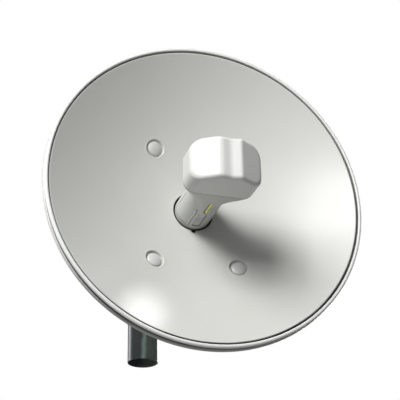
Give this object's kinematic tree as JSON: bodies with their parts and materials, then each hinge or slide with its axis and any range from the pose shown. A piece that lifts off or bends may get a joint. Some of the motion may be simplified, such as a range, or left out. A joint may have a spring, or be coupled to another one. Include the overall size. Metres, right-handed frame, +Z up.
{
  "type": "point-to-point wireless dish antenna",
  "caption": "Round dish antenna with a plug-in central feed on its axis, elevation bracket and pole clamp, carried on a short stub of mast tube.",
  "frame": {"origin": "centre of the lower end of the mast stub", "axes": "+Z up the mast; the dish looks along -Y; +X is to the right when facing the front of the dish"},
  "size_m": [0.4106, 0.375, 0.4106],
  "materials": {
    "dish_paint": "gloss powder coat, warm grey-white",
    "painted_bolt": "gloss paint to match the dish",
    "white_plastic": "satin UV-stable plastic",
    "grey_plastic": "glass-filled plastic, fine grain",
    "dark_plastic": "matte",
    "smoked_window": "smoked clear light window",
    "led_clear": "clear diode bodies",
    "board_green": "solder mask over glass laminate",
    "tinned_sheet": "tinned sheet",
    "brass_sheet": "plain",
    "brass_screw": "plain",
    "alloy_sheet": "rolled",
    "cast_alloy": "die-cast, tumbled",
    "zinc_steel": "zinc-plated sheet",
    "bolt_steel": "bright zinc plate",
    "foam_rubber": "moulded rubber",
    "mast_paint": "dark green-grey enamel on steel tube"
  },
  "bodies": {
    "mast": {"mast_tube": "mast_paint"},
    "clamp": {"mast_bracket": "zinc_steel", "mast_saddle": "cast_alloy", "clamp_bolts": "bolt_steel", "elevation_bolts": "bolt_steel", "elevation_washers": "bolt_steel", "elevation_nuts": "bolt_steel"},
    "jaw": {"clamp_jaw": "cast_alloy", "clamp_washers": "bolt_steel", "clamp_nuts": "bolt_steel"},
    "dish": {"dish_bracket": "zinc_steel", "hub_housing": "grey_plastic", "hub_gasket": "foam_rubber", "earth_screw": "brass_screw", "reflector": "dish_paint", "dish_bolts": "painted_bolt", "dish_washers": "bolt_steel", "dish_nuts": "bolt_steel", "cable_grommet": "foam_rubber", "cap_hinge_pin": "bolt_steel"},
    "cap": {"rear_cap": "grey_plastic"},
    "feed": {"feed_housing": "white_plastic", "head_cover": "white_plastic", "head_seal": "foam_rubber", "neck_panel": "white_plastic", "led_window": "smoked_window", "feed_board": "board_green", "board_shield": "tinned_sheet", "status_leds": "led_clear", "ethernet_jack": "tinned_sheet", "feed_radiator": "brass_sheet", "sub_reflector": "alloy_sheet", "plug_oring": "foam_rubber"},
    "release": {"release_button": "white_plastic"},
    "reset": {"reset_button": "dark_plastic"}
  },
  "joints": [
    {"name": "azimuth_turn", "type": "hinge", "parent": "mast", "child": "clamp", "pos_m": [0, 0, 0.151], "axis": [0, 0, 1], "continuous": true},
    {"name": "jaw_slide", "type": "slide", "parent": "clamp", "child": "jaw", "axis": [0, 1, 0], "range_m": [0, 0.012]},
    {"name": "elevation_tilt", "type": "hinge", "parent": "clamp", "child": "dish", "pos_m": [0.0225, -0.096, 0.123], "axis": [-1, 0, 0], "range_deg": [-20, 20]},
    {"name": "feed_slide", "type": "slide", "parent": "dish", "child": "feed", "axis": [0, -1, 0], "range_m": [0, 0.055]},
    {"name": "release_press", "type": "slide", "parent": "feed", "child": "release", "axis": [0, 0, 1], "range_m": [0, 0.0015], "stiffness_N_per_m": 800},
    {"name": "cap_swing", "type": "hinge", "parent": "dish", "child": "cap", "pos_m": [0.0225, -0.117, 0.182], "axis": [1, 0, 0], "range_deg": [0, 60]},
    {"name": "reset_press", "type": "slide", "parent": "feed", "child": "reset", "axis": [0, -1, 0], "range_m": [0, 0.0008], "stiffness_N_per_m": 600}
  ]
}
